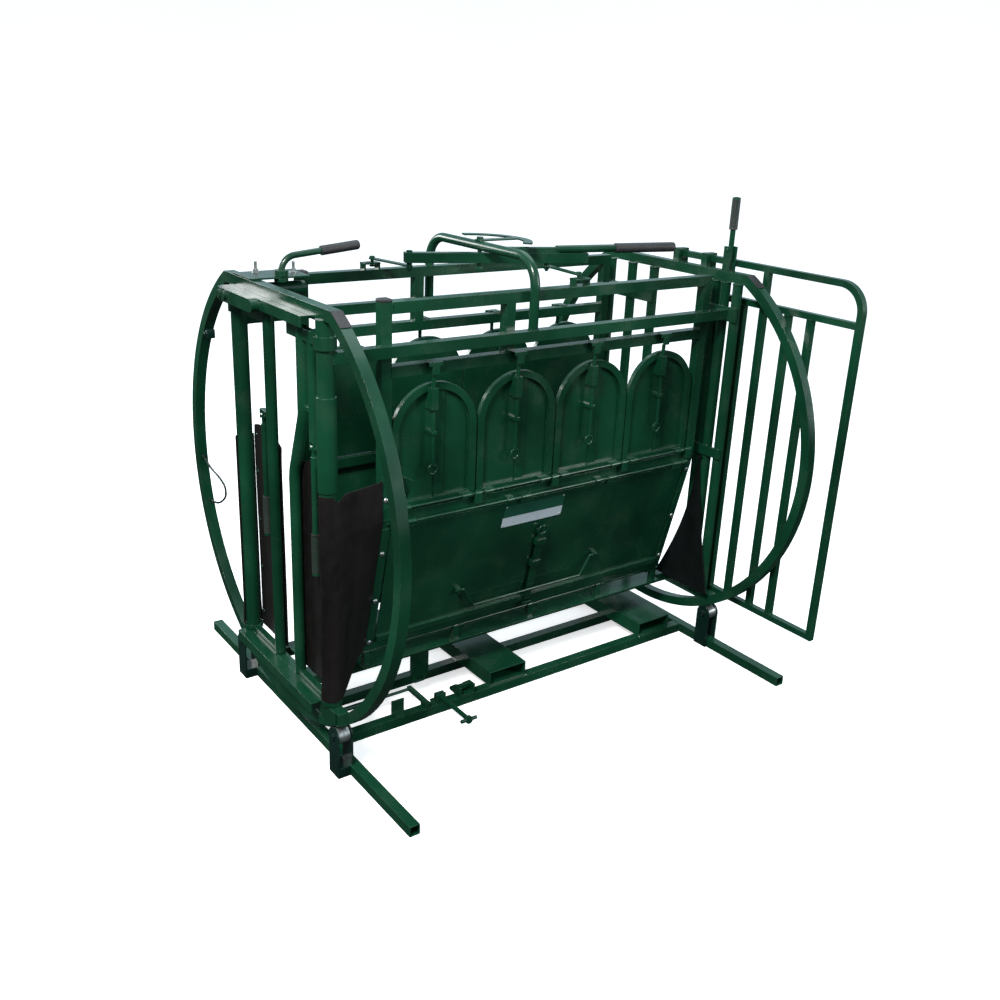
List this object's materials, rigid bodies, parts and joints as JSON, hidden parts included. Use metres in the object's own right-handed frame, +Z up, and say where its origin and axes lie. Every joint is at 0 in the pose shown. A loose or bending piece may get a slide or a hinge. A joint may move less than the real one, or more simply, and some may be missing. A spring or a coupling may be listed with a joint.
{
  "type": "roll-over squeeze crate",
  "caption": "Roll-over squeeze crate for calves: D-shaped hoops on floor rollers carry a crate with hinged squeeze sides, a head gate and a sliding tail gate.",
  "frame": {"origin": "on the floor, midway between the two cross tubes of the base and on the hoops' centre line", "axes": "+X from the head gate to the tail gate, +Y away from the operator's side, +Z up"},
  "size_m": [1.947, 1.7255, 1.889],
  "materials": {
    "green_paint": "gloss",
    "dark_paint": "satin",
    "zinc": "satin",
    "black_rubber": "matte",
    "black_plastic": "matte"
  },
  "bodies": {
    "base": {"cross_tubes": "green_paint", "base_rails": "green_paint", "fork_pockets": "green_paint", "roller_brackets": "dark_paint", "roll_stop": "green_paint"},
    "tilt_lock": {"tilt_lock": "green_paint"},
    "rollers_near": {"rollers_near": "zinc"},
    "rollers_far": {"rollers_far": "zinc"},
    "crate": {"hoop_front": "green_paint", "hoop_rear": "green_paint", "hoop_caps": "black_plastic", "floor_frame": "green_paint", "lock_plate": "green_paint", "floor_plate": "green_paint", "front_plate": "green_paint", "fixed_rails": "green_paint", "overhead_bow": "green_paint", "head_posts": "green_paint", "head_cam_case": "green_paint", "head_bolts": "zinc", "crate_rubber": "black_rubber", "tail_frame": "green_paint", "gate_guides": "green_paint"},
    "near_side": {"near_side_frame": "green_paint", "panel_keepers_near": "green_paint", "side_belting": "black_rubber"},
    "far_side": {"far_side_frame": "green_paint", "panel_keepers_far": "green_paint", "far_lower_sheet": "green_paint"},
    "lower_panel": {"near_lower_panel": "green_paint"},
    "bail": {"near_bail": "green_paint"},
    "latch_bar": {"near_latch_bar": "green_paint"},
    "rocker": {"squeeze_rocker": "green_paint", "squeeze_grip": "black_plastic"},
    "link_near": {"link_near": "green_paint"},
    "link_far": {"link_far": "green_paint"},
    "head_lever": {"head_lever": "green_paint", "head_lever_grip": "black_plastic"},
    "head_door_near": {"head_door_near": "green_paint", "door_belt_near": "black_rubber"},
    "head_door_far": {"head_door_far": "green_paint", "door_belt_far": "black_rubber"},
    "neck_lever_near": {"neck_lever_near": "green_paint"},
    "neck_lever_far": {"neck_lever_far": "green_paint"},
    "tail_gate": {"tail_gate": "green_paint"},
    "tail_lever": {"tail_lever": "green_paint"},
    "drop_near_1": {"drop_panel_near_1": "green_paint"},
    "bolt_near_1": {"latch_near_1": "green_paint"},
    "drop_near_2": {"drop_panel_near_2": "green_paint"},
    "bolt_near_2": {"latch_near_2": "green_paint"},
    "drop_near_3": {"drop_panel_near_3": "green_paint"},
    "bolt_near_3": {"latch_near_3": "green_paint"},
    "drop_near_4": {"drop_panel_near_4": "green_paint"},
    "bolt_near_4": {"latch_near_4": "green_paint"},
    "drop_far_1": {"drop_panel_far_1": "green_paint"},
    "bolt_far_1": {"latch_far_1": "green_paint"},
    "drop_far_2": {"drop_panel_far_2": "green_paint"},
    "bolt_far_2": {"latch_far_2": "green_paint"},
    "drop_far_3": {"drop_panel_far_3": "green_paint"},
    "bolt_far_3": {"latch_far_3": "green_paint"},
    "drop_far_4": {"drop_panel_far_4": "green_paint"},
    "bolt_far_4": {"latch_far_4": "green_paint"}
  },
  "joints": [
    {"name": "crate_roll", "type": "hinge", "parent": "base", "child": "crate", "pos_m": [0, 0, 0.9], "axis": [-1, 0, 0], "range_deg": [0, 90]},
    {"name": "near_rollers", "type": "hinge", "parent": "base", "child": "rollers_near", "pos_m": [0, -0.395, 0.15301], "axis": [-1, 0, 0], "range_deg": [-2460, 0]},
    {"name": "far_rollers", "type": "hinge", "parent": "base", "child": "rollers_far", "pos_m": [0, 0.395, 0.15301], "axis": [-1, 0, 0], "range_deg": [-2460, 0]},
    {"name": "tilt_lock", "type": "slide", "parent": "base", "child": "tilt_lock", "axis": [0, 1, 0], "range_m": [0, 0.165]},
    {"name": "squeeze", "type": "hinge", "parent": "crate", "child": "rocker", "pos_m": [-0.125, 0, 1.67], "axis": [0, 0, 1], "range_deg": [0, 40]},
    {"name": "near_side", "type": "hinge", "parent": "crate", "child": "near_side", "pos_m": [0, -0.165, 0.3], "axis": [-1, 0, 0], "range_deg": [0, 7.48]},
    {"name": "far_side", "type": "hinge", "parent": "crate", "child": "far_side", "pos_m": [0, 0.165, 0.3], "axis": [1, 0, 0], "range_deg": [0, 7.48]},
    {"name": "near_link", "type": "hinge", "parent": "rocker", "child": "link_near", "pos_m": [0.1165, -0.0879, 1.64], "axis": [0, 0, 1], "range_deg": [-40, 0]},
    {"name": "far_link", "type": "hinge", "parent": "rocker", "child": "link_far", "pos_m": [-0.3665, 0.0879, 1.64], "axis": [0, 0, 1], "range_deg": [-40, 0]},
    {"name": "lower_panel", "type": "hinge", "parent": "near_side", "child": "lower_panel", "pos_m": [0.026, -0.325, 0.852], "axis": [1, 0, 0], "range_deg": [-100, 0]},
    {"name": "bail", "type": "hinge", "parent": "lower_panel", "child": "bail", "pos_m": [0, -0.23568, 0.48841], "axis": [-1, 0, 0], "range_deg": [0, 100]},
    {"name": "latch_bar", "type": "slide", "parent": "lower_panel", "child": "latch_bar", "axis": [0, -0.2374, 0.9714], "range_m": [0, 0.05]},
    {"name": "drop_near_1", "type": "hinge", "parent": "near_side", "child": "drop_near_1", "pos_m": [-0.499, -0.326, 0.905], "axis": [1, 0, 0], "range_deg": [0, 165]},
    {"name": "latch_near_1", "type": "slide", "parent": "drop_near_1", "child": "bolt_near_1", "axis": [0, 0, 1], "range_m": [0, 0.022]},
    {"name": "drop_near_2", "type": "hinge", "parent": "near_side", "child": "drop_near_2", "pos_m": [-0.153, -0.326, 0.905], "axis": [1, 0, 0], "range_deg": [0, 165]},
    {"name": "latch_near_2", "type": "slide", "parent": "drop_near_2", "child": "bolt_near_2", "axis": [0, 0, 1], "range_m": [0, 0.022]},
    {"name": "drop_near_3", "type": "hinge", "parent": "near_side", "child": "drop_near_3", "pos_m": [0.193, -0.326, 0.905], "axis": [1, 0, 0], "range_deg": [0, 165]},
    {"name": "latch_near_3", "type": "slide", "parent": "drop_near_3", "child": "bolt_near_3", "axis": [0, 0, 1], "range_m": [0, 0.022]},
    {"name": "drop_near_4", "type": "hinge", "parent": "near_side", "child": "drop_near_4", "pos_m": [0.539, -0.326, 0.905], "axis": [1, 0, 0], "range_deg": [0, 165]},
    {"name": "latch_near_4", "type": "slide", "parent": "drop_near_4", "child": "bolt_near_4", "axis": [0, 0, 1], "range_m": [0, 0.022]},
    {"name": "drop_far_1", "type": "hinge", "parent": "far_side", "child": "drop_far_1", "pos_m": [-0.499, 0.326, 0.905], "axis": [-1, 0, 0], "range_deg": [0, 165]},
    {"name": "latch_far_1", "type": "slide", "parent": "drop_far_1", "child": "bolt_far_1", "axis": [0, 0, 1], "range_m": [0, 0.022]},
    {"name": "drop_far_2", "type": "hinge", "parent": "far_side", "child": "drop_far_2", "pos_m": [-0.153, 0.326, 0.905], "axis": [-1, 0, 0], "range_deg": [0, 165]},
    {"name": "latch_far_2", "type": "slide", "parent": "drop_far_2", "child": "bolt_far_2", "axis": [0, 0, 1], "range_m": [0, 0.022]},
    {"name": "drop_far_3", "type": "hinge", "parent": "far_side", "child": "drop_far_3", "pos_m": [0.193, 0.326, 0.905], "axis": [-1, 0, 0], "range_deg": [0, 165]},
    {"name": "latch_far_3", "type": "slide", "parent": "drop_far_3", "child": "bolt_far_3", "axis": [0, 0, 1], "range_m": [0, 0.022]},
    {"name": "drop_far_4", "type": "hinge", "parent": "far_side", "child": "drop_far_4", "pos_m": [0.539, 0.326, 0.905], "axis": [-1, 0, 0], "range_deg": [0, 165]},
    {"name": "latch_far_4", "type": "slide", "parent": "drop_far_4", "child": "bolt_far_4", "axis": [0, 0, 1], "range_m": [0, 0.022]},
    {"name": "head_lever", "type": "hinge", "parent": "crate", "child": "head_lever", "pos_m": [-0.812, 0.19, 1.62], "axis": [0, 0, 1], "range_deg": [0, 60]},
    {"name": "near_door", "type": "hinge", "parent": "crate", "child": "head_door_near", "pos_m": [-0.912, -0.33, 0.9], "axis": [0, 0, 1], "range_deg": [0, 55.01]},
    {"name": "far_door", "type": "hinge", "parent": "crate", "child": "head_door_far", "pos_m": [-0.912, 0.33, 0.9], "axis": [0, 0, -1], "range_deg": [0, 55.01]},
    {"name": "neck_lever_near", "type": "hinge", "parent": "head_door_near", "child": "neck_lever_near", "pos_m": [-0.912, -0.236, 1.138], "axis": [0, 1, 0], "range_deg": [0, 80]},
    {"name": "neck_lever_far", "type": "hinge", "parent": "head_door_far", "child": "neck_lever_far", "pos_m": [-0.918, 0.137, 1.15], "axis": [0, 1, 0], "range_deg": [0, 80]},
    {"name": "tail_gate", "type": "slide", "parent": "crate", "child": "tail_gate", "axis": [0, 1, 0], "range_m": [0, 0.62]},
    {"name": "tail_lever", "type": "hinge", "parent": "crate", "child": "tail_lever", "pos_m": [0.876, -0.288, 1.69], "axis": [1, 0, 0], "range_deg": [0, 50]}
  ],
  "couplings": [
    {"joint": "near_rollers", "follows": "crate_roll", "ratio": -27.212},
    {"joint": "far_rollers", "follows": "crate_roll", "ratio": -27.212},
    {"joint": "near_side", "follows": "squeeze", "ratio": 0.18675},
    {"joint": "far_side", "follows": "squeeze", "ratio": 0.18675},
    {"joint": "near_link", "follows": "squeeze", "ratio": -1},
    {"joint": "far_link", "follows": "squeeze", "ratio": -1},
    {"joint": "near_door", "follows": "head_lever", "ratio": 0.91667},
    {"joint": "far_door", "follows": "head_lever", "ratio": 0.91667}
  ]
}
